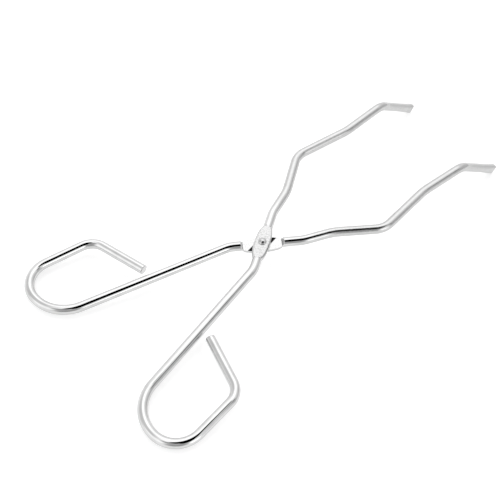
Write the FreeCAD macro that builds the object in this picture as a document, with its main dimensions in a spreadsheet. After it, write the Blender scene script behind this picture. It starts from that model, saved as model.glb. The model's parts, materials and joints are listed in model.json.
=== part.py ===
import FreeCAD, Part
import math
import os
import Sketcher

# Crucible tongs: two bent steel rods that cross at one rivet, like scissors.
# Each arm runs from a finger loop, along a straight shank, through a pressed
# flat at the pivot, round one half of the bow and down to a flattened tip.
#
# An arm is drawn in its own frame with the jaws shut: the pivot at the origin,
# +Y towards the tips, +Z up, and the rod's centre line at z = 0.  "out" is the
# distance from the line of symmetry, "along" the distance ahead of the pivot
# for the jaw and behind it for the finger loop.

V = FreeCAD.Vector
ORIGIN_POINT = (-1, 1)
X_AXIS, Y_AXIS, Z_AXIS = V(1, 0, 0), V(0, 1, 0), V(0, 0, 1)
TOLERANCE = 0.001
FULL_TURN, RIGHT_ANGLE = 360, 90
TILT_PASSES = 10

DIMENSIONS = {
    "rod_diameter": 4.8,
    # finger loop and shank
    "free_end_out": 14.0, "free_end_along": 56.8, "free_end_chamfer": 0.4,
    "loop_corner_out": 41.8, "loop_corner_along": 70.7, "loop_corner_bend": 9.5,
    "loop_heel_out": 39.7, "loop_heel_along": 111.1, "loop_heel_bend": 13.2,
    "loop_base_out": 10.0, "loop_base_along": 105.2, "loop_base_bend": 18.4,
    "shank_end_out": 6.25, "shank_end_along": 15.0, "shank_end_bend": 15.0,
    # jaw
    "jaw_root_out": 7.75, "jaw_root_along": 18.6, "jaw_root_bend": 20.0,
    "jaw_neck_out": 10.6, "jaw_neck_along": 34.0, "jaw_neck_bend": 30.0,
    "bow_out": 21.1, "bow_along": 57.3, "bow_bend": 12.0,
    "nose_out": 10.9, "nose_along": 88.4, "nose_bend": 30.0,
    "tip_lead_out": 8.5, "tip_lead_along": 104.9, "tip_lead_length": 10.9,
    "tip_length": 36.4, "tip_droop": 36.0, "tip_bend": 13.0,
    # gripping end of a tip, hammered thinner and wider towards its end
    "grip_length": 13.0, "grip_width": 5.5, "grip_thickness": 3.3, "grip_rim_chamfer": 0.35,
    "groove_from_end": 1.1, "groove_pitch": 1.1, "groove_count": 6, "groove_depth": 0.2,
    # pressed flat round the pivot hole
    "flat_half_length": 9.4, "press_depth": 0.2, "swell_half_length": 9.9, "swell_radius": 3.9,
    "swell_end_radius": 2.0, "swell_setback": 0.3, "flat_gap": 0.1,
    # rivet
    "rivet_diameter": 2.6, "rivet_running_gap": 0.05, "rivet_end_gap": 0.08,
    "rivet_head_diameter": 4.1, "rivet_head_height": 1.2,
    # each arm's turn away from shut, as the tongs lie at rest
    "half_opening": 11.2,
}
PRESSED_HEIGHT = "(Dimensions.rod_diameter / 2 - Dimensions.press_depth)"
HANDLE_VERTICES = ["free_end", "loop_corner", "loop_heel", "loop_base", "shank_end"]
JAW_VERTICES = ["jaw_root", "jaw_neck", "bow", "nose", "tip_lead"]

doc = FreeCAD.newDocument("crucible_tongs")
sheet = doc.addObject("Spreadsheet::Sheet", "Dimensions")
for row, (alias, value) in enumerate(DIMENSIONS.items(), start=1):
    sheet.set(f"A{row}", alias)
    sheet.set(f"B{row}", str(value))
    sheet.setAlias(f"B{row}", alias)
doc.recompute()


def size(alias):
    return float(sheet.get(alias))


def cell(alias):
    return f"Dimensions.{alias}"


def origin_item(body, role):
    return next(item for item in body.Origin.OriginFeatures if item.Role == role)


def sketch_on(body, name, role):
    sketch = body.newObject("Sketcher::SketchObject", name)
    sketch.AttachmentSupport = [(origin_item(body, role), "")]
    sketch.MapMode = "FlatFace"
    return sketch


def across(feature, path, edge, end):
    """Attach a feature square across one edge of a path, at its start (0) or end (1)."""
    feature.AttachmentSupport = [(path, edge)]
    feature.MapMode = "NormalToEdge"
    feature.MapPathParameter = end


def drive(sketch, kind, *arguments, rule):
    """Add a driving constraint and tie its value to the sheet."""
    index = sketch.addConstraint(Sketcher.Constraint(kind, *arguments))
    sketch.setExpression(f"Constraints[{index}]", rule)


def polyline(sketch, points):
    """Draw straight runs through points of (x, y, x rule, y rule)."""
    for start, finish in zip(points, points[1:]):
        sketch.addGeometry(Part.LineSegment(V(*start[:2]), V(*finish[:2])))
    for run in range(len(points) - 2):
        sketch.addConstraint(Sketcher.Constraint("Coincident", run, 2, run + 1, 1))
    for number, (x, y, x_rule, y_rule) in enumerate(points):
        place = (number, 1) if number < len(points) - 1 else (number - 1, 2)
        drive(sketch, "DistanceX", *ORIGIN_POINT, *place, x, rule=x_rule)
        drive(sketch, "DistanceY", *ORIGIN_POINT, *place, y, rule=y_rule)


def round_corner(sketch, run, bend):
    """Round the corner at the end of one straight run to a radius from the sheet."""
    sketch.fillet(run, 2, size(bend), True, True)
    arc = next(
        number
        for number in reversed(range(len(sketch.Geometry)))
        if isinstance(sketch.Geometry[number], Part.ArcOfCircle)
    )
    drive(sketch, "Radius", arc, size(bend), rule=cell(bend))


def circle(sketch, diameter_alias):
    sketch.addGeometry(Part.Circle(V(), Z_AXIS, size(diameter_alias) / 2))
    sketch.addConstraint(Sketcher.Constraint("Coincident", 0, 3, *ORIGIN_POINT))
    drive(sketch, "Diameter", 0, size(diameter_alias), rule=cell(diameter_alias))


def rod_along(body, name, path):
    """Sweep the round rod along a path."""
    section = body.newObject("Sketcher::SketchObject", name + "Section")
    across(section, path, "Edge1", 0)
    circle(section, "rod_diameter")
    rod = body.newObject("PartDesign::AdditivePipe", name)
    rod.Profile = section
    rod.Spine = (path, [])
    return rod


def plan_path(body, side):
    """The centre line seen from above, from the free end to the start of the tip."""
    path = sketch_on(body, "PlanPath", "XY_Plane")
    points = []
    for names, across_sign, along_sign in ((HANDLE_VERTICES, -side, -1), (JAW_VERTICES, side, 1)):
        for name in names:
            out, along = name + "_out", name + "_along"
            points.append((
                across_sign * size(out), along_sign * size(along),
                f"{across_sign} * {cell(out)}", f"{along_sign} * {cell(along)}",
            ))
    polyline(path, points)
    corners = (HANDLE_VERTICES + JAW_VERTICES)[1:-1]
    for run, name in enumerate(corners):
        round_corner(path, run, name + "_bend")
    return path


def tip_path(body, side):
    """The centre line of the tip in its upright plane: level, then down to the bench."""
    path = sketch_on(body, "TipPath", "YZ_Plane")
    lead_in = "(Dimensions.nose_out - Dimensions.tip_lead_out)"
    lead_run = "(Dimensions.tip_lead_along - Dimensions.nose_along)"
    toe_in = math.degrees(math.atan2(
        size("nose_out") - size("tip_lead_out"), size("tip_lead_along") - size("nose_along")
    ))
    path.AttachmentOffset = FreeCAD.Placement(
        V(size("tip_lead_along"), 0, side * size("tip_lead_out")),
        FreeCAD.Rotation(Y_AXIS, side * toe_in),
    )
    path.setExpression(".AttachmentOffset.Base.x", cell("tip_lead_along"))
    path.setExpression(".AttachmentOffset.Base.z", f"{side} * {cell('tip_lead_out')}")
    path.setExpression(".AttachmentOffset.Rotation.Angle", f"{side} * atan({lead_in} / {lead_run})")
    lead = size("tip_lead_length")
    reach = size("tip_length") - size("grip_length")
    droop = math.radians(size("tip_droop"))
    reach_rule = "(Dimensions.tip_length - Dimensions.grip_length)"
    droop_rule = "(Dimensions.tip_droop * 1 deg)"
    lead_rule = cell("tip_lead_length")
    polyline(path, [
        (0, 0, "0", "0"),
        (lead, 0, lead_rule, "0"),
        (
            lead + reach * math.cos(droop), -reach * math.sin(droop),
            f"{lead_rule} + {reach_rule} * cos({droop_rule})",
            f"-{reach_rule} * sin({droop_rule})",
        ),
    ])
    round_corner(path, 0, "tip_bend")
    return path


def flat_angle(side):
    """Turn about +Z from the line of symmetry to the pressed flat, and its rule."""
    turn = math.degrees(math.atan2(size("jaw_root_out"), size("jaw_root_along")))
    return -side * turn, f"{-side} * atan(Dimensions.jaw_root_out / Dimensions.jaw_root_along)"


def turned_sketch(body, name, role, axis, side):
    """A sketch through the pivot, turned to the direction of the pressed flat."""
    sketch = sketch_on(body, name, role)
    angle, rule = flat_angle(side)
    sketch.AttachmentOffset = FreeCAD.Placement(V(), FreeCAD.Rotation(axis, angle))
    sketch.setExpression(".AttachmentOffset.Rotation.Angle", rule)
    return sketch


def closed_outline(sketch, points):
    """Straight sides round points of (x, y, x rule, y rule)."""
    first = len(sketch.Geometry)
    count = len(points)
    for point, following in zip(points, points[1:] + points[:1]):
        sketch.addGeometry(Part.LineSegment(V(*point[:2]), V(*following[:2])))
    for number, (x, y, x_rule, y_rule) in enumerate(points):
        side, next_side = first + number, first + (number + 1) % count
        sketch.addConstraint(Sketcher.Constraint("Coincident", side, 2, next_side, 1))
        drive(sketch, "DistanceX", *ORIGIN_POINT, side, 1, x, rule=x_rule)
        drive(sketch, "DistanceY", *ORIGIN_POINT, side, 1, y, rule=y_rule)


def rectangle(sketch, x_low, x_high, y_low, y_high):
    """A rectangle whose four limits are pairs of (value, rule)."""
    corners = [(x_low, y_low), (x_high, y_low), (x_high, y_high), (x_low, y_high)]
    closed_outline(sketch, [(x[0], y[0], x[1], y[1]) for x, y in corners])


def swell(body, side):
    """The metal that spreads sideways when the rod is pressed: a barrel along the flat."""
    sketch = turned_sketch(body, "SwellOutline", "XY_Plane", Z_AXIS, side)
    end_radius, crest = size("swell_end_radius"), size("swell_radius")
    reach, setback = size("swell_half_length"), size("swell_setback")
    front, rear = reach - setback, -reach - setback
    sketch.addGeometry(Part.Arc(V(end_radius, rear), V(crest, -setback), V(end_radius, front)))
    sketch.addGeometry(Part.LineSegment(V(end_radius, front), V(0, front)))
    sketch.addGeometry(Part.LineSegment(V(0, front), V(0, rear)))
    sketch.addGeometry(Part.LineSegment(V(0, rear), V(end_radius, rear)))
    sketch.addGeometry(Part.Point(V(crest, -setback)), True)
    for joint in ((0, 2, 1, 1), (1, 2, 2, 1), (2, 2, 3, 1), (3, 2, 0, 1)):
        sketch.addConstraint(Sketcher.Constraint("Coincident", *joint))
    sketch.addConstraint(Sketcher.Constraint("PointOnObject", 4, 1, 0))
    sketch.addConstraint(Sketcher.Constraint("PointOnObject", 1, 2, -2))
    sketch.addConstraint(Sketcher.Constraint("PointOnObject", 2, 2, -2))
    drive(sketch, "DistanceX", *ORIGIN_POINT, 4, 1, crest, rule=cell("swell_radius"))
    drive(sketch, "DistanceY", *ORIGIN_POINT, 4, 1, -setback, rule=f"-{cell('swell_setback')}")
    drive(sketch, "DistanceX", *ORIGIN_POINT, 0, 1, end_radius, rule=cell("swell_end_radius"))
    drive(sketch, "DistanceX", *ORIGIN_POINT, 0, 2, end_radius, rule=cell("swell_end_radius"))
    reach_rule, setback_rule = cell("swell_half_length"), cell("swell_setback")
    drive(sketch, "DistanceY", *ORIGIN_POINT, 0, 2, front, rule=f"{reach_rule} - {setback_rule}")
    drive(sketch, "DistanceY", *ORIGIN_POINT, 0, 1, rear, rule=f"-{reach_rule} - {setback_rule}")
    sketch.addConstraint(Sketcher.Constraint("Horizontal", 1))
    sketch.addConstraint(Sketcher.Constraint("Horizontal", 3))
    barrel = body.newObject("PartDesign::Revolution", "Swell")
    barrel.Profile = sketch
    barrel.ReferenceAxis = (sketch, ["V_Axis"])
    barrel.Angle = FULL_TURN


def cut(body, name, sketch, length, rule, midplane=False, reverse=False):
    """Pocket a sketch and make sure that it removed metal."""
    before = body.Shape.Volume
    pocket = body.newObject("PartDesign::Pocket", name)
    pocket.Profile = sketch
    pocket.Length = length
    pocket.Midplane = midplane
    pocket.Reversed = reverse
    pocket.setExpression("Length", rule)
    doc.recompute()
    if body.Shape.Volume >= before:
        raise RuntimeError(f"{body.Label}: {name} cuts nothing")
    return pocket


def pressed_height():
    return size("rod_diameter") / 2 - size("press_depth")


def press_flat(body, side, layer):
    """Flatten the rod at the pivot, then leave its upper (+1) or lower (-1) half."""
    crown, crest, gap = pressed_height(), size("swell_radius"), size("flat_gap") / 2
    crown_rule, crest_rule = PRESSED_HEIGHT, cell("swell_radius")
    gap_rule = "Dimensions.flat_gap / 2"
    left, right = (-crest, f"-{crest_rule}"), (crest, crest_rule)
    faces = turned_sketch(body, "PressOutline", "XZ_Plane", Y_AXIS, side)
    rectangle(faces, left, right, (crown, crown_rule), (crest, crest_rule))
    rectangle(faces, left, right, (-crest, f"-{crest_rule}"), (-crown, f"-{crown_rule}"))
    reach = size("swell_half_length") + size("swell_setback")
    reach_rule = "2 * (Dimensions.swell_half_length + Dimensions.swell_setback)"
    cut(body, "PressedFaces", faces, 2 * reach, reach_rule, midplane=True)

    half = turned_sketch(body, "OtherHalf", "XZ_Plane", Y_AXIS, side)
    near, far = (layer * gap, f"{layer} * {gap_rule}"), (-layer * crest, f"{-layer} * {crest_rule}")
    rectangle(half, left, right, *sorted((near, far)))
    reach = size("flat_half_length")
    cut(body, "Halving", half, 2 * reach, "2 * Dimensions.flat_half_length", midplane=True)


def pivot_hole(body, diameter, rule):
    sketch = sketch_on(body, "PivotCircle", "XY_Plane")
    sketch.addGeometry(Part.Circle(V(), Z_AXIS, diameter / 2))
    sketch.addConstraint(Sketcher.Constraint("Coincident", 0, 3, *ORIGIN_POINT))
    drive(sketch, "Diameter", 0, diameter, rule=rule)
    cut(body, "PivotHole", sketch, 2 * size("rod_diameter"), "2 * Dimensions.rod_diameter", midplane=True)


def chamfer(body, name, size_alias, wanted):
    """Chamfer the edges of the body's tip that pass a test."""
    base = body.Tip
    edges = [f"Edge{n}" for n, edge in enumerate(base.Shape.Edges, start=1) if wanted(edge)]
    if not edges:
        raise RuntimeError(f"{body.Label}: no edges for {name}")
    feature = body.newObject("PartDesign::Chamfer", name)
    feature.Base = (base, edges)
    feature.Size = size(size_alias)
    feature.setExpression("Size", cell(size_alias))
    doc.recompute()
    return feature


def ease_free_end(body, path):
    """Take the sharp edge off the cut end of the finger loop."""
    start = path.Shape.Edges[0].firstVertex().Point
    radius = size("rod_diameter") / 2
    chamfer(body, "FreeEnd", "free_end_chamfer", lambda edge: is_rim(edge, start, radius))


def is_rim(edge, centre, radius):
    """A full or part circle of this radius about this centre."""
    curve = edge.Curve
    return (
        isinstance(curve, Part.Circle)
        and abs(curve.Radius - radius) < TOLERANCE
        and (curve.Center - centre).Length < TOLERANCE
    )


def grip(body, side, path):
    """Taper the end of the tip wider upright and thinner sideways, and groove its inner face."""
    last_edge = "Edge3"
    rod, wide, thick = size("rod_diameter") / 2, size("grip_width") / 2, size("grip_thickness") / 2
    rod_rule, wide_rule = "Dimensions.rod_diameter / 2", cell("grip_width")
    thick_rule = "Dimensions.grip_thickness / 2"
    reach, reach_rule = size("grip_length"), cell("grip_length")

    ring = body.newObject("Sketcher::SketchObject", "GripSection")
    across(ring, path, last_edge, 1)
    circle(ring, "rod_diameter")
    pad = body.newObject("PartDesign::Pad", "Grip")
    pad.Profile = ring
    pad.Length = reach
    pad.setExpression("Length", reach_rule)
    pad.Reversed = True
    pad.TaperAngle = math.degrees(math.atan((wide - rod) / reach))
    pad.setExpression("TaperAngle", f"atan(({wide_rule} / 2 - {rod_rule}) / {reach_rule})")
    doc.recompute()
    end = ring.Placement.Base + ring.Placement.Rotation.multVec(-Z_AXIS) * reach
    chamfer(body, "GripRim", "grip_rim_chamfer", lambda edge: is_rim(edge, end, wide))

    sides = plan_of_tip(body, "GripSides", path, last_edge)
    for sign in (-1, 1):
        closed_outline(sides, [
            (sign * rod, 0, f"{sign} * {rod_rule}", "0"),
            (sign * thick, -reach, f"{sign} * {thick_rule}", f"-{reach_rule}"),
            (sign * 2 * wide, -reach, f"{sign} * {wide_rule}", f"-{reach_rule}"),
            (sign * 2 * wide, 0, f"{sign} * {wide_rule}", "0"),
        ])
    cut(body, "GripFaces", sides, 4 * wide, f"2 * {wide_rule}", midplane=True)

    notches = plan_of_tip(body, "GrooveSections", path, last_edge)
    deep, deep_rule = size("groove_depth"), cell("groove_depth")
    for number in range(int(size("groove_count"))):
        back = size("groove_from_end") + number * size("groove_pitch")
        back_rule = f"({cell('groove_from_end')} + {number} * {cell('groove_pitch')})"
        face = thick + (rod - thick) * back / reach
        face_rule = f"({thick_rule} + ({rod_rule} - {thick_rule}) * {back_rule} / {reach_rule})"
        middle, middle_rule = back - reach, f"({back_rule} - {reach_rule})"
        closed_outline(notches, [
            (-side * (face - deep), middle, f"{-side} * ({face_rule} - {deep_rule})", middle_rule),
            (
                -side * (face + deep), middle - 2 * deep,
                f"{-side} * ({face_rule} + {deep_rule})", f"{middle_rule} - 2 * {deep_rule}",
            ),
            (
                -side * (face + deep), middle + 2 * deep,
                f"{-side} * ({face_rule} + {deep_rule})", f"{middle_rule} + 2 * {deep_rule}",
            ),
        ])
    cut(body, "Grooves", notches, 4 * wide, f"2 * {wide_rule}", midplane=True)


def plan_of_tip(body, name, path, edge):
    """A sketch along the tip's end: x sideways, y back along the tip from the grip's start."""
    sketch = body.newObject("Sketcher::SketchObject", name)
    across(sketch, path, edge, 1)
    sketch.AttachmentOffset = FreeCAD.Placement(V(), FreeCAD.Rotation(X_AXIS, RIGHT_ANGLE))
    return sketch


def make_arm(label, side, layer, hole, hole_rule):
    """One arm: its jaw on the left (-1) or right (+1), its flat above (+1) or below (-1)."""
    body = doc.addObject("PartDesign::Body", label)
    plan = plan_path(body, side)
    tip = tip_path(body, side)
    doc.recompute()
    rod_along(body, "Rod", plan)
    rod_along(body, "Tip", tip)
    doc.recompute()
    ease_free_end(body, plan)
    swell(body, side)
    doc.recompute()
    press_flat(body, side, layer)
    pivot_hole(body, hole, hole_rule)
    grip(body, side, tip)
    return body, plan


def make_rivet():
    """A solid rivet with a domed head on each side, closed over both flats."""
    body = doc.addObject("PartDesign::Body", "pivot_rivet")
    sketch = sketch_on(body, "RivetOutline", "XZ_Plane")
    shank, shank_rule = size("rivet_diameter") / 2, "Dimensions.rivet_diameter / 2"
    head, head_rule = size("rivet_head_diameter") / 2, "Dimensions.rivet_head_diameter / 2"
    top, top_rule = pressed_height(), PRESSED_HEIGHT
    base, base_rule = -top - size("rivet_end_gap"), f"-{top_rule} - Dimensions.rivet_end_gap"
    dome, dome_rule = size("rivet_head_height"), cell("rivet_head_height")
    outline = [
        (head, top, head_rule, top_rule),
        (shank, top, shank_rule, top_rule),
        (shank, base, shank_rule, base_rule),
        (head, base, head_rule, base_rule),
    ]
    polyline(sketch, outline)
    heads = ((top, top_rule, 1, (0, 1)), (base, base_rule, -1, (2, 2)))
    crowns = []
    for seat, seat_rule, outward, seat_corner in heads:
        crown = seat + outward * dome
        rise = head ** 2 / dome
        radius = (dome + rise) / 2
        centre = V(0, crown - outward * radius)
        spread = math.asin(head / radius)
        start, finish = sorted((math.pi / 2 * outward, math.pi / 2 * outward - spread * outward))
        arc = sketch.addGeometry(
            Part.ArcOfCircle(Part.Circle(centre, Z_AXIS, radius), start, finish)
        )
        rim, pole = (1, 2) if outward > 0 else (2, 1)
        sketch.addConstraint(Sketcher.Constraint("Coincident", arc, rim, *seat_corner))
        sketch.addConstraint(Sketcher.Constraint("PointOnObject", arc, 3, -2))
        sketch.addConstraint(Sketcher.Constraint("PointOnObject", arc, pole, -2))
        crown_rule = f"{seat_rule} + {outward} * {dome_rule}"
        drive(sketch, "DistanceY", *ORIGIN_POINT, arc, pole, crown, rule=crown_rule)
        crowns.append((arc, pole, crown))
    axis = sketch.addGeometry(Part.LineSegment(V(0, crowns[0][2]), V(0, crowns[1][2])))
    sketch.addConstraint(Sketcher.Constraint("Coincident", axis, 1, *crowns[0][:2]))
    sketch.addConstraint(Sketcher.Constraint("Coincident", axis, 2, *crowns[1][:2]))
    rivet = body.newObject("PartDesign::Revolution", "Rivet")
    rivet.Profile = sketch
    rivet.ReferenceAxis = (sketch, ["V_Axis"])
    rivet.Angle = FULL_TURN
    doc.recompute()
    return body


def resting_tilt(plan, grip_rim, grip_direction):
    """Lean about X that sets the back of the loops and the ends of the tips level.

    All are given opened, in the pivot's frame: the plan centre line, the centre
    of the rim at the tip's end and the direction that the tip points in.
    """
    rear = plan.optimalBoundingBox().YMin
    tilt = 0.0
    for _ in range(TILT_PASSES):
        slope = grip_direction.y * math.sin(tilt) + grip_direction.z * math.cos(tilt)
        rim_drop = size("grip_width") / 2 * math.sqrt(1 - slope ** 2)
        lift = rim_drop - size("rod_diameter") / 2 - grip_rim.z * math.cos(tilt)
        tilt = math.asin(lift / (grip_rim.y - rear))
    return math.degrees(tilt)


def stand_on_bench(upper, lower, rivet, plan):
    """Open the arms and lay the tongs on z = 0, centred on the origin in plan."""
    opening = FreeCAD.Rotation(Z_AXIS, size("half_opening"))
    grip_section = next(item for item in upper.Group if item.Label.startswith("GripSection"))
    square = grip_section.Placement
    direction = square.Rotation.multVec(-Z_AXIS)
    rim = square.Base + direction * (size("grip_length") - size("grip_rim_chamfer"))
    opened_plan = plan.Shape.copy()
    opened_plan.Placement = FreeCAD.Placement(V(), opening) * opened_plan.Placement
    tilt = resting_tilt(opened_plan, opening.multVec(rim), opening.multVec(direction))
    lean = FreeCAD.Placement(V(), FreeCAD.Rotation(X_AXIS, tilt))
    turns = ((upper, 1), (lower, -1), (rivet, 0))
    for body, turn in turns:
        swing = FreeCAD.Placement(V(), FreeCAD.Rotation(Z_AXIS, turn * size("half_opening")))
        body.Placement = lean * swing
    doc.recompute()
    box = Part.makeCompound([body.Shape for body, _ in turns]).optimalBoundingBox()
    shift = FreeCAD.Placement(V(-box.Center.x, -box.Center.y, -box.ZMin), FreeCAD.Rotation())
    for body, _ in turns:
        body.Placement = shift * body.Placement
    doc.recompute()


upper_arm, upper_plan = make_arm(
    "upper_arm", side=-1, layer=1, hole=size("rivet_diameter"), hole_rule=cell("rivet_diameter"),
)
lower_arm, _ = make_arm(
    "lower_arm", side=1, layer=-1,
    hole=size("rivet_diameter") + 2 * size("rivet_running_gap"),
    hole_rule="Dimensions.rivet_diameter + 2 * Dimensions.rivet_running_gap",
)
pivot_rivet = make_rivet()
stand_on_bench(upper_arm, lower_arm, pivot_rivet, upper_plan)

for item in doc.Objects:
    if "Invalid" in item.State or "Error" in item.State:
        raise RuntimeError(f"{item.Label} failed: {item.State}")
for body in (upper_arm, lower_arm, pivot_rivet):
    if body.Shape.isNull() or not body.Shape.isValid() or len(body.Shape.Solids) != 1:
        raise RuntimeError(f"{body.Label} isn't one sound solid")

os.makedirs("parts", exist_ok=True)
for body in (upper_arm, lower_arm, pivot_rivet):
    body.Shape.exportStep(f"parts/{body.Label}.step")
hinge = pivot_rivet.Placement
print("hinge at", hinge.Base, "along", hinge.Rotation.multVec(Z_AXIS))
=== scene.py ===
import json
import math

import bpy
from mathutils import Matrix, Vector


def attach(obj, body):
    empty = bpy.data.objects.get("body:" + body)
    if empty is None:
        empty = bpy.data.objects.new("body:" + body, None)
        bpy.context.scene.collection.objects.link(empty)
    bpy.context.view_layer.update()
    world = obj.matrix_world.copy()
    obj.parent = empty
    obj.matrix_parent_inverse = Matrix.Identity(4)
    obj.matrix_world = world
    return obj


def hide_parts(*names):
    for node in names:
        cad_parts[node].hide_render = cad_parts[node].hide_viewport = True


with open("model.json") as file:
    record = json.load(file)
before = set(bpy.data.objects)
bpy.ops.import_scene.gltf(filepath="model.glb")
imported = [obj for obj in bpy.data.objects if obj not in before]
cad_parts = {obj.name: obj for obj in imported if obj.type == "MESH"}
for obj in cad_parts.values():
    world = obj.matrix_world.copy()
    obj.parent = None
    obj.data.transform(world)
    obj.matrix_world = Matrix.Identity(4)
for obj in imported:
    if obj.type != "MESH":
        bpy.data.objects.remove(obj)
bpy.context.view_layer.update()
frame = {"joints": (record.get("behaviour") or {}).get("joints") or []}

# Crucible tongs: two bent steel rods that cross at one rivet. Each arm is one swept
# skin whose section follows the rod from the cut end of the finger loop, through the
# pressed flat at the pivot, to the hammered tip. Lengths below are in millimetres, in
# an arm's own frame with the jaws shut: pivot at the origin, +Y towards the tips.

MM = 0.001
PIVOT = Vector(frame["joints"][0]["pos_m"])
HINGE_AXIS = Vector(frame["joints"][0]["axis"]).normalized()
HALF_OPENING = 11.2

# Vertices of an arm's centre line: (out from the line of symmetry, ahead of the pivot, bend).
ROD_RADIUS = 2.4
HANDLE = [
    (14.0, -56.8, 0), (41.8, -70.7, 9.5), (39.7, -111.1, 13.2), (10.0, -105.2, 18.4),
    (6.25, -15.0, 15),
]
JAW = [(7.75, 18.6, 20), (10.6, 34.0, 30), (21.1, 57.3, 12), (10.9, 88.4, 30)]
TIP_LEAD = (8.5, 104.9)
TIP_LEAD_LENGTH = 10.9
TIP_LENGTH = 36.4
TIP_DROOP = 36.0
TIP_BEND = 13.0

# Pressed flat, centred on the pivot. Heights are measured from the rod's centre line.
# A section is a superellipse: squareness 2 is round, and higher is nearer a rectangle.
FLAT_HALF_LENGTH = 9.4
FLAT_GAP = 0.05
PRESSED_HEIGHT = 2.2
PRESS_HALF_LENGTH = 9.9
PRESS_RAMP = 0.8
ROUND_SQUARENESS = 2
PRESSED_SQUARENESS = 7.0
SQUARENESS_FALL_OFF = 8
SHOULDER_LENGTH = 1.5
CREASE_DEPTH = 0.28
CREASE_HALF_LENGTH = 0.45
SWELL = 1.5
SWELL_HALF_LENGTH = 9.9
SWELL_SETBACK = 0.3
SWELL_FALL_OFF = 2.6
EDGE_SOFTNESS = 0.22
MATING_SATIN = 0.5

# Painted shade: a ragged dark line down one side of the outer face. Angles are round the
# section, and waves are in radians for each millimetre along the rod. The line deepens
# along a change of (where it begins ahead of the pivot, how long it is).
SHADE_LINE_ANGLE = 44.0
SHADE_LINE_SPREAD = 3.3
SHADE_LINE_WANDER = 3.0
SHADE_LINE_WAVES = (5.3, 2.1)
SHADE_LINE_LEAST = 0.25
SHADE_LINE_DEEPENING = 0.6
SHADE_LINE_CHANGE = (2, 5)

# Dark print on each mating face, where the other arm rests when the tongs are shut.
PRINT_HALF_WIDTH = 3.25
PRINT_FADE = 0.4

# Hammered grip at the end of a tip, with cross grooves in its inner face.
GRIP_LENGTH = 13.0
GRIP_HALF_WIDTH = 2.75
GRIP_HALF_THICKNESS = 1.65
GROOVE_FROM_END = 1.1
GROOVE_PITCH = 1.1
GROOVE_COUNT = 6
GROOVE_DEPTH = 0.2
GROOVE_SLOPE = 0.55
GRIP_ONSET = 6

# The bright plating turns duller along the jaw; the tip's upper edge is duller still and painted
# darker, a painted shade on that side.
JAW_DULLING = 0.5
JAW_DULLING_LENGTH = 30.0
TIP_DULLING = 0.03
TIP_DULLING_LENGTH = 34.0
TIP_DULLING_ONSET = 8
TIP_EDGE_SHADE_AND_DULLING = 0.42
TIP_EDGE_ANGLE = 52.0
TIP_EDGE_SPREAD = 30.0

# Ends of the rods.
FREE_END_ROUND = 0.4
TIP_END_ROUND = 0.35

# Rivet: a domed head on each side and a shank through both flats.
RIVET_SHANK_RADIUS = 1.3
RIVET_HEAD_RADIUS = 2.05
RIVET_HEAD_HEIGHT = 1.2
RIVET_RIM_HEIGHT = 0.3
RIVET_END_GAP = 0.08
RIVET_RUNNING_GAP = 0.05

# Mesh density. The steps are along the rod, in millimetres, or in degrees round a bend.
AROUND = 72
RIVET_AROUND = 64
DRILL_AROUND = 48
DOME_STEPS = 18
STRAIGHT_STEP = 1.2
BEND_STEP = 3.0
FLAT_STEP = 0.3
SHOULDER_STEP = 0.1
GRIP_STEP = 0.11
FINE_FREE_END = 1.2
FINE_BESIDE_PRESS = 2

# Camera: it looks down at a spot on the bench just beside the rivet.
CAMERA_AZIMUTH = 44.05
CAMERA_ELEVATION = 49.65
CAMERA_ROLL = 6.58
CAMERA_DISTANCE = 463.3 * MM
CAMERA_LENS = 66.92
CAMERA_CLIP_START = 10 * MM
AIM_BESIDE_PIVOT = Vector((-7.39, -0.40)) * MM

# Sky: a white light tent, with a few greyer or darker areas for the metal to mirror.
# Each area is (bearing from +Y towards +X, elevation, inner radius, outer radius, brightness).
TENT_BRIGHTNESS = 1.4
TENT_AREAS = [
    ("far_wall", 26, 9, 11, 45, 0.98),
    ("main_light", 295, 65, 18, 42, 2.2),
    ("second_light", 192, 26, 12, 32, 1.9),
    ("left_wall", 241, 44, 14, 35, 1.05),
    ("near_wall", 132, 24, 12, 35, 0.6),
    ("near_roof", 160, 58, 6, 20, 0.62),
    ("right_light", 86, 16, 8, 20, 2.6),
    ("grey_corner", 50, 44, 3, 11, 0.12),
    ("grey_side", 49, 22, 5, 16, 0.85),
    ("camera_gap", 100, 75, 19, 24, 0.0),
    ("camera_gap_edge", 106, 57, 11, 16, 0.0),
]

# Table: white, with a little glow of its own. Its size is in metres.
TABLE_SIZE = 6.0
TABLE_DROP = 0.1 * MM
TABLE_WHITE = (0.74, 0.74, 0.74, 1)
TABLE_ROUGHNESS = 0.9
TABLE_GLOW = 0.5

# Plating. A pair is the darkest and lightest, or smoothest and roughest, that fine
# noise picks between while it goes through its own span.
CLOUD_SCALE = 180.0
CLOUD_DETAIL = 3.0
SPECKLE_SCALE = 1500.0
SPECKLE_DETAIL = 4.0
NOISE_SPAN = (0.3, 0.7)
SATIN_SPAN = (0.38, 0.56)
ROD_TONE = (0.57, 0.64)
RIVET_TONE = (0.49, 0.55)
# This darker tone is also the painted shade along the tip's upper edge.
DULL_AND_SHADED_TONE = (0.41, 0.51)
SATIN_TONE = (0.46, 0.66)
DARK_TONE = (0.003, 0.015)
ROD_ROUGHNESS = (0.03, 0.08)
RIVET_ROUGHNESS = (0.02, 0.05)
DULL_ROUGHNESS = (0.26, 0.46)
SATIN_ROUGHNESS = (0.26, 0.50)
RIPPLE_HEIGHT = 0.012 * MM
ROD_GRAIN = 0.002 * MM
SATIN_GRAIN = 0.02 * MM
RIVET_GRAIN = 0.0002 * MM


def direction(bearing, elevation):
    """A unit vector towards a place in the sky."""
    b, e = math.radians(bearing), math.radians(elevation)
    return Vector((math.sin(b) * math.cos(e), math.cos(b) * math.cos(e), math.sin(e)))


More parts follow.
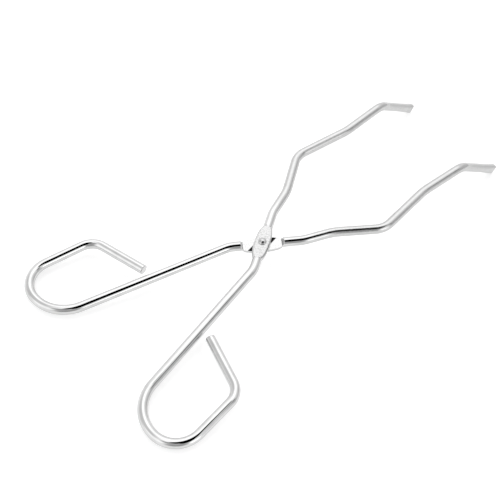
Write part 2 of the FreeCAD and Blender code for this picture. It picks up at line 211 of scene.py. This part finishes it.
def make_world():
    world = bpy.data.worlds.new("light_tent")
    bpy.context.scene.world = world
    world.use_nodes = True
    tree = world.node_tree
    tree.nodes.clear()
    place = tree.nodes.new("ShaderNodeTexCoord")
    brightness = None
    for name, bearing, elevation, inner, outer, level in TENT_AREAS:
        facing = tree.nodes.new("ShaderNodeVectorMath")
        facing.operation = "DOT_PRODUCT"
        facing.inputs[1].default_value = direction(bearing, elevation)
        tree.links.new(place.outputs["Generated"], facing.inputs[0])
        inside = tree.nodes.new("ShaderNodeMapRange")
        inside.name = name
        inside.interpolation_type = "SMOOTHSTEP"
        inside.inputs["From Min"].default_value = math.cos(math.radians(outer))
        inside.inputs["From Max"].default_value = math.cos(math.radians(inner))
        tree.links.new(facing.outputs["Value"], inside.inputs["Value"])
        painted = tree.nodes.new("ShaderNodeMix")
        painted.inputs["B"].default_value = level
        tree.links.new(inside.outputs["Result"], painted.inputs["Factor"])
        if brightness is None:
            painted.inputs["A"].default_value = TENT_BRIGHTNESS
        else:
            tree.links.new(brightness, painted.inputs["A"])
        brightness = painted.outputs["Result"]
    background = tree.nodes.new("ShaderNodeBackground")
    output = tree.nodes.new("ShaderNodeOutputWorld")
    tree.links.new(brightness, background.inputs["Strength"])
    tree.links.new(background.outputs["Background"], output.inputs["Surface"])


def make_camera():
    data = bpy.data.cameras.new("camera")
    data.lens = CAMERA_LENS
    data.clip_start = CAMERA_CLIP_START
    camera = bpy.data.objects.new("camera", data)
    bpy.context.scene.collection.objects.link(camera)
    aim = Vector((PIVOT.x + AIM_BESIDE_PIVOT.x, PIVOT.y + AIM_BESIDE_PIVOT.y, 0))
    a, e = math.radians(CAMERA_AZIMUTH), math.radians(CAMERA_ELEVATION)
    back = Vector((math.sin(a) * math.cos(e), -math.cos(a) * math.cos(e), math.sin(e)))
    level = (-back).to_track_quat("-Z", "Y")
    roll = Matrix.Rotation(math.radians(CAMERA_ROLL), 4, "Z").to_quaternion()
    camera.rotation_mode = "QUATERNION"
    camera.rotation_quaternion = level @ roll
    camera.location = aim + back * CAMERA_DISTANCE
    bpy.context.scene.camera = camera


def smooth_step(value):
    value = min(max(value, 0.0), 1.0)
    return value * value * (3 - 2 * value)


def soft_min(value, limit, softness):
    """The lesser of the two, with the corner between them rounded."""
    if softness <= 0:
        return min(value, limit)
    reach = max(softness - abs(value - limit), 0.0) / softness
    return min(value, limit) - reach * reach * softness / 4


def soft_max(value, limit, softness):
    return -soft_min(-value, -limit, softness)


def spaced(low, high, step):
    """Even stations from low up to, but not including, high."""
    count = max(1, math.ceil((high - low) / step))
    return [low + (high - low) * number / count for number in range(count)]


class CentreLine:
    """Straight runs joined by tangent arcs, through (point, bend radius) corners."""

    def __init__(self, corners):
        points = [Vector(point) for point, _ in corners]
        self.pieces = []
        start = points[0]
        distance = 0.0
        for before, (_, bend), corner, after in zip(points, corners[1:], points[1:], points[2:]):
            came, goes = (corner - before).normalized(), (after - corner).normalized()
            turn = came.angle(goes)
            tangent = bend * math.tan(turn / 2)
            entry = corner - came * tangent
            run = (entry - start).length
            self.pieces.append(("run", distance, run, start, came, None, None))
            distance += run
            inward = (goes - came * came.dot(goes)).normalized()
            self.pieces.append(("bend", distance, bend * turn, entry, came, inward, bend))
            distance += bend * turn
            start = corner + goes * tangent
        came = (points[-1] - points[-2]).normalized()
        run = (points[-1] - start).length
        self.pieces.append(("run", distance, run, start, came, None, None))
        self.length = distance + run

    def at(self, station):
        """Position and direction at a distance along the line."""
        piece = self.pieces[0]
        for candidate in self.pieces:
            if candidate[1] <= station:
                piece = candidate
        kind, begins, _, start, heading, inward, bend = piece
        along = station - begins
        if kind == "run":
            return start + heading * along, heading.copy()
        turn = along / bend
        place = start + heading * (bend * math.sin(turn)) + inward * (bend * (1 - math.cos(turn)))
        return place, heading * math.cos(turn) + inward * math.sin(turn)

    def stations(self):
        """Enough places along the line to keep its bends round."""
        places = []
        for kind, begins, span, *_, bend in self.pieces:
            step = STRAIGHT_STEP if kind == "run" else bend * math.radians(BEND_STEP)
            places += spaced(begins, begins + span, step)
        return places + [self.length]

    def nearest(self, target):
        """The distance along the line of the place nearest to a point."""
        places = self.stations()
        return min(places, key=lambda station: (self.at(station)[0] - target).length)


def arm_centre_line(side):
    """One arm's centre line, its jaw on the left (-1) or right (+1)."""
    corners = [((-side * out, along, 0), bend) for out, along, bend in HANDLE]
    corners += [((side * out, along, 0), bend) for out, along, bend in JAW]
    lead = Vector((side * TIP_LEAD[0], TIP_LEAD[1], 0))
    nose = Vector((side * JAW[-1][0], JAW[-1][1], 0))
    ahead = (lead - nose).normalized()
    corner = lead + ahead * TIP_LEAD_LENGTH
    droop = math.radians(TIP_DROOP)
    fall = ahead * math.cos(droop) - Vector((0, 0, math.sin(droop)))
    corners += [(corner, TIP_BEND), (corner + fall * TIP_LENGTH, 0)]
    return CentreLine(corners)


def arm_stations(line, middle):
    """The line's own stations, with closer ones where the section changes."""
    grip = line.length - GRIP_LENGTH
    flat = FLAT_HALF_LENGTH
    shoulder = flat + SHOULDER_LENGTH
    press = PRESS_HALF_LENGTH + FINE_BESIDE_PRESS
    fine = [
        (0.0, FINE_FREE_END, SHOULDER_STEP),
        (middle - press, middle - shoulder, FLAT_STEP),
        (middle - shoulder, middle - flat, SHOULDER_STEP),
        (middle - flat, middle + flat, FLAT_STEP),
        (middle + flat, middle + shoulder, SHOULDER_STEP),
        (middle + shoulder, middle + press, FLAT_STEP),
        (grip, line.length, GRIP_STEP),
    ]
    places = [
        place for place in line.stations()
        if not any(low - SHOULDER_STEP < place < high + SHOULDER_STEP for low, high, _ in fine)
    ]
    for low, high, step in fine:
        places += spaced(low, high, step)
    return sorted(set(places + [line.length]))


def section_point(angle, along_flat, from_end, side, layer):
    """One point of a section: (sideways to the right, upwards), in millimetres."""
    press = pressed_share(along_flat)
    middle = max(1 - (along_flat / PRESS_HALF_LENGTH) ** SQUARENESS_FALL_OFF, 0.0)
    squareness = ROUND_SQUARENESS + (PRESSED_SQUARENESS - ROUND_SQUARENESS) * middle
    across, rise = math.cos(angle), math.sin(angle)
    reach = (abs(across) ** squareness + abs(rise) ** squareness) ** (-1 / squareness)

    # Metal pushed sideways by the press, most of it a little behind the pivot.
    spread = 1 - (abs(along_flat + SWELL_SETBACK) / SWELL_HALF_LENGTH) ** SWELL_FALL_OFF
    half_width = ROD_RADIUS + SWELL * max(spread, 0.0)
    half_height = ROD_RADIUS + (PRESSED_HEIGHT - ROD_RADIUS) * press

    # The press leaves a shallow crease at each end of the flat, on the mating side.
    off_crease = (abs(along_flat) - PRESS_HALF_LENGTH) / CREASE_HALF_LENGTH
    mating = smooth_step(0.5 - layer * rise)
    pinch = 1 - mating * CREASE_DEPTH / ROD_RADIUS * math.exp(-off_crease * off_crease)
    right, up = half_width * across * reach * pinch, half_height * rise * reach * pinch

    # The half on the other arm's side is gone.
    halved = smooth_step((FLAT_HALF_LENGTH + SHOULDER_LENGTH - abs(along_flat)) / SHOULDER_LENGTH)
    if halved > 0:
        floor = -layer * (ROD_RADIUS + EDGE_SOFTNESS) * (1 - halved) + layer * FLAT_GAP * halved
        cut_off = soft_max if layer > 0 else soft_min
        up = cut_off(up, floor, EDGE_SOFTNESS)

    # The grip: wider upright and thinner sideways towards its end.
    taper = (GRIP_LENGTH - from_end) / GRIP_LENGTH
    if taper > 0:
        up *= 1 + (GRIP_HALF_WIDTH / ROD_RADIUS - 1) * taper
        right *= 1 + (GRIP_HALF_WIDTH / ROD_RADIUS - 1) * taper
        face = ROD_RADIUS + (GRIP_HALF_THICKNESS - ROD_RADIUS) * taper
        inner = face - groove_depth(from_end)
        low, high = (-inner, face) if side > 0 else (-face, inner)
        softness = EDGE_SOFTNESS * smooth_step(taper * GRIP_ONSET)
        right = soft_min(soft_max(right, low, softness), high, softness)
    return right, up


def pressed_share(along_flat):
    """1 on the pressed flat and 0 on the round rod."""
    return smooth_step((PRESS_HALF_LENGTH + PRESS_RAMP - abs(along_flat)) / (2 * PRESS_RAMP))


def painted_shade_line_share(angle, along_flat):
    """Painted shade: a ragged dark line down the right of the outer face, deepest behind the
    pivot.
    """
    fast, slow = SHADE_LINE_WAVES
    wander = SHADE_LINE_WANDER * math.sin(fast * along_flat) * math.cos(slow * along_flat)
    away = (math.degrees(angle) - SHADE_LINE_ANGLE - wander) / SHADE_LINE_SPREAD
    begins, length = SHADE_LINE_CHANGE
    depth = SHADE_LINE_LEAST + SHADE_LINE_DEEPENING * smooth_step((begins - along_flat) / length)
    return depth * math.exp(-away * away) * pressed_share(along_flat)


def dulling_and_shade_share(angle, along_flat, from_end):
    """How dull the plating is, with painted shade on the tip's upper edge: 0 on the handles and
    up to 1 along that edge.
    """
    jaw = JAW_DULLING * smooth_step((along_flat - FLAT_HALF_LENGTH) / JAW_DULLING_LENGTH)
    away = (math.degrees(angle) - TIP_EDGE_ANGLE) / TIP_EDGE_SPREAD
    tip = TIP_DULLING + TIP_EDGE_SHADE_AND_DULLING * math.exp(-away * away)
    return jaw + tip * smooth_step((TIP_DULLING_LENGTH - from_end) / TIP_DULLING_ONSET)


def groove_depth(from_end):
    """How deep the cross grooves are at a distance from the end of the tip."""
    number = round((from_end - GROOVE_FROM_END) / GROOVE_PITCH)
    number = min(max(number, 0), GROOVE_COUNT - 1)
    away = abs(from_end - GROOVE_FROM_END - number * GROOVE_PITCH)
    return max(GROOVE_DEPTH - away * GROOVE_SLOPE, 0.0)


def end_scale(from_end, radius):
    """How far a section shrinks towards a rounded end."""
    if from_end >= radius:
        return 1.0
    drop = radius - math.sqrt(max(radius ** 2 - (radius - from_end) ** 2, 0.0))
    return 1 - drop / ROD_RADIUS


def make_arm(name, side, layer):
    """One arm as a single closed skin, drawn shut and then opened about the rivet."""
    line = arm_centre_line(side)
    middle = line.nearest(Vector((0, 0, 0)))
    middle += line.at(middle)[1].dot(-line.at(middle)[0])
    own_way = line.at(middle)[1]
    other_way = Vector((-own_way.x, own_way.y, 0))
    places = arm_stations(line, middle)
    vertices, faces = [], []
    satin, dulling_and_shade, dark = [], [], []
    for station in places:
        centre, heading = line.at(station)
        right = heading.cross(Vector((0, 0, 1))).normalized()
        up = right.cross(heading)
        from_tip = line.length - station
        scale = min(end_scale(station, FREE_END_ROUND), end_scale(from_tip, TIP_END_ROUND))
        for number in range(AROUND):
            angle = 2 * math.pi * number / AROUND
            along_flat = station - middle
            across, above = section_point(angle, along_flat, from_tip, side, layer)
            vertices.append(centre + right * across * scale + up * above * scale)
            pressed = pressed_share(along_flat)
            outer_face = smooth_step((layer * above - PRESSED_HEIGHT / 2) * 2)
            mating = smooth_step((3 * FLAT_GAP - layer * above) / FLAT_GAP)
            satin.append(pressed * max(outer_face, MATING_SATIN * mating))
            # Painted shade: a ragged dark line down the right of the upper arm's outer face.
            painted_shade_line = painted_shade_line_share(angle, along_flat) if layer > 0 else 0.0
            beside = abs((centre + right * across).cross(other_way).z)
            printed = mating * smooth_step((PRINT_HALF_WIDTH - beside) / PRINT_FADE)
            dark.append(max(painted_shade_line, printed * pressed))
            # Duller plating along the jaw, and painted shade with duller plating along the tip's
            # upper edge.
            dulling_and_shade.append(dulling_and_shade_share(angle, along_flat, from_tip))
    for ring in range(len(places) - 1):
        for number in range(AROUND):
            following = (number + 1) % AROUND
            a, b = ring * AROUND + number, ring * AROUND + following
            faces.append((a, a + AROUND, b + AROUND, b))
    last = (len(places) - 1) * AROUND
    faces.append(tuple(range(AROUND)))
    faces.append(tuple(range(last + AROUND - 1, last - 1, -1)))

    place = hinge_place() @ Matrix.Rotation(math.radians(-side * HALF_OPENING), 4, "Z")
    arm = add_object(name, [place @ (vertex * MM) for vertex in vertices], faces)
    for label, shares in (("satin", satin), ("dulling_and_shade", dulling_and_shade), ("dark", dark)):
        arm.data.attributes.new(label, "FLOAT", "POINT").data.foreach_set("value", shares)
    drill(arm, RIVET_SHANK_RADIUS + (0 if layer > 0 else RIVET_RUNNING_GAP))
    return arm


def hinge_place():
    """Where the rivet's own frame stands: its middle, with +Z along the hinge."""
    lean = Vector((0, 0, 1)).rotation_difference(HINGE_AXIS).to_matrix().to_4x4()
    return Matrix.Translation(PIVOT) @ lean


def add_object(name, vertices, faces):
    """A smooth-shaded mesh object in the scene."""
    mesh = bpy.data.meshes.new(name)
    mesh.from_pydata(vertices, [], faces)
    mesh.shade_smooth()
    piece = bpy.data.objects.new(name, mesh)
    bpy.context.scene.collection.objects.link(piece)
    return piece


def make_lathe(name, profile, turns):
    """A closed solid turned from (radius, height) points about the hinge, in millimetres."""
    place = hinge_place()
    vertices, faces = [], []
    for radius, height in profile:
        for number in range(turns):
            angle = 2 * math.pi * number / turns
            point = Vector((radius * math.cos(angle), radius * math.sin(angle), height))
            vertices.append(place @ (point * MM))
    for ring in range(len(profile) - 1):
        for number in range(turns):
            following = (number + 1) % turns
            a, b = ring * turns + number, ring * turns + following
            faces.append((a, b, b + turns, a + turns))
    last = (len(profile) - 1) * turns
    faces.append(tuple(range(turns - 1, -1, -1)))
    faces.append(tuple(range(last, last + turns)))
    return add_object(name, vertices, faces)


def drill(arm, radius):
    """Cut the pivot hole and keep the result as the arm's mesh."""
    reach = 2 * PRESSED_HEIGHT
    drill_bit = make_lathe("drill_bit", [(radius, -reach), (radius, reach)], DRILL_AROUND)
    cut = arm.modifiers.new("hole", "BOOLEAN")
    cut.operation = "DIFFERENCE"
    cut.solver = "EXACT"
    cut.object = drill_bit
    whole = arm.evaluated_get(bpy.context.evaluated_depsgraph_get())
    drilled = bpy.data.meshes.new_from_object(whole)
    arm.modifiers.clear()
    arm.data = drilled
    bpy.data.objects.remove(drill_bit)


def head_profile(seat, outward):
    """A shallow dome on a low upright rim, from its seat to its crown."""
    height = RIVET_HEAD_HEIGHT - RIVET_RIM_HEIGHT
    dome = (RIVET_HEAD_RADIUS ** 2 / height + height) / 2
    middle = seat + outward * (RIVET_HEAD_HEIGHT - dome)
    edge = math.asin(RIVET_HEAD_RADIUS / dome)
    points = [(RIVET_HEAD_RADIUS, seat)]
    for step in range(DOME_STEPS):
        turn = edge * (1 - step / (DOME_STEPS - 0.5))
        points.append((dome * math.sin(turn), middle + outward * dome * math.cos(turn)))
    return points


def make_rivet():
    top, bottom = PRESSED_HEIGHT, -PRESSED_HEIGHT - RIVET_END_GAP
    profile = head_profile(bottom, -1)[::-1]
    profile += [(RIVET_SHANK_RADIUS, bottom), (RIVET_SHANK_RADIUS, top)]
    profile += head_profile(top, 1)
    return make_lathe("closed_rivet", profile, RIVET_AROUND)


def new_material(name):
    material = bpy.data.materials.new(name)
    material.use_nodes = True
    tree = material.node_tree
    shader = tree.nodes["Principled BSDF"]
    return material, tree, shader


def noise(tree, coordinates, scale, detail):
    node = tree.nodes.new("ShaderNodeTexNoise")
    node.inputs["Scale"].default_value = scale
    node.inputs["Detail"].default_value = detail
    tree.links.new(coordinates, node.inputs["Vector"])
    return node.outputs["Fac"]


def remap(tree, value, result, span=NOISE_SPAN):
    """Stretch a value from its span to a pair of results."""
    node = tree.nodes.new("ShaderNodeMapRange")
    node.inputs["From Min"].default_value, node.inputs["From Max"].default_value = span
    node.inputs["To Min"].default_value, node.inputs["To Max"].default_value = result
    tree.links.new(value, node.inputs["Value"])
    return node.outputs["Result"]


def share(tree, label):
    """One of the shares that make_arm gives each vertex."""
    node = tree.nodes.new("ShaderNodeAttribute")
    node.attribute_name = label
    return node.outputs["Fac"]


def blend(tree, factor, first, second):
    """A mix of two values or sockets."""
    node = tree.nodes.new("ShaderNodeMix")
    tree.links.new(factor, node.inputs["Factor"])
    for name, value in (("A", first), ("B", second)):
        if isinstance(value, (int, float)):
            node.inputs[name].default_value = value
        else:
            tree.links.new(value, node.inputs[name])
    return node.outputs["Result"]


def add_bump(tree, height, distance, after=None):
    bump = tree.nodes.new("ShaderNodeBump")
    bump.inputs["Strength"].default_value = 1.0
    if isinstance(distance, float):
        bump.inputs["Distance"].default_value = distance
    else:
        tree.links.new(distance, bump.inputs["Distance"])
    tree.links.new(height, bump.inputs["Height"])
    if after is not None:
        tree.links.new(after, bump.inputs["Normal"])
    return bump.outputs["Normal"]


def plated_steel(name, is_arm):
    """Bright plating over drawn rod. On an arm it is duller along the jaw, satin where the press
    marked it, dark in its print, and painted with shade on the tip's top and the flat's edge."""
    material, tree, shader = new_material(name)
    place = tree.nodes.new("ShaderNodeTexCoord").outputs["Object"]
    speckle = noise(tree, place, SPECKLE_SCALE, SPECKLE_DETAIL)
    cloud = noise(tree, place, CLOUD_SCALE, CLOUD_DETAIL)
    ripple = add_bump(tree, cloud, RIPPLE_HEIGHT)
    if is_arm:
        satin, dulling_and_shade, dark = (share(tree, label) for label in ("satin", "dulling_and_shade", "dark"))
        tone = remap(tree, cloud, ROD_TONE)
        # Darker where the plating is dull, and painted shade on the tip's upper edge.
        tone = blend(tree, dulling_and_shade, tone, remap(tree, speckle, DULL_AND_SHADED_TONE))
        tone = blend(tree, satin, tone, remap(tree, speckle, SATIN_TONE, SATIN_SPAN))
        # Near black for the print and for the painted shade line.
        tone = blend(tree, dark, tone, remap(tree, speckle, DARK_TONE))
        roughness = remap(tree, cloud, ROD_ROUGHNESS)
        roughness = blend(tree, dulling_and_shade, roughness, remap(tree, speckle, DULL_ROUGHNESS))
        roughness = blend(tree, satin, roughness, remap(tree, speckle, SATIN_ROUGHNESS))
        grain = blend(tree, satin, ROD_GRAIN, SATIN_GRAIN)
    else:
        tone = remap(tree, cloud, RIVET_TONE)
        roughness = remap(tree, cloud, RIVET_ROUGHNESS)
        grain = RIVET_GRAIN

    grey = tree.nodes.new("ShaderNodeCombineColor")
    for channel in ("Red", "Green", "Blue"):
        tree.links.new(tone, grey.inputs[channel])
    shader.inputs["Metallic"].default_value = 1.0
    tree.links.new(grey.outputs["Color"], shader.inputs["Base Color"])
    tree.links.new(roughness, shader.inputs["Roughness"])
    tree.links.new(add_bump(tree, speckle, grain, ripple), shader.inputs["Normal"])
    return material


def make_floor():
    bpy.ops.mesh.primitive_plane_add(size=TABLE_SIZE, location=(0, 0, -TABLE_DROP))
    floor = bpy.context.object
    floor.name = "floor"
    material, _, shader = new_material("white_table")
    shader.inputs["Roughness"].default_value = TABLE_ROUGHNESS
    shader.inputs["Specular IOR Level"].default_value = 0.0
    shader.inputs["Base Color"].default_value = TABLE_WHITE
    shader.inputs["Emission Color"].default_value = (1, 1, 1, 1)
    shader.inputs["Emission Strength"].default_value = TABLE_GLOW
    floor.data.materials.append(material)


make_world()
make_camera()
make_floor()
rod_steel = plated_steel("plated_rod_steel", True)
rivet_steel = plated_steel("plated_rivet_steel", False)
for name, side, layer in (("upper_arm", -1, 1), ("lower_arm", 1, -1)):
    arm = make_arm(name + "_rod", side, layer)
    arm.data.materials.append(rod_steel)
    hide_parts(name)
    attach(arm, name + "_body")
rivet = make_rivet()
rivet.data.materials.append(rivet_steel)
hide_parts("pivot_rivet")
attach(rivet, "upper_arm_body")

bpy.context.scene.view_settings.view_transform = "Standard"
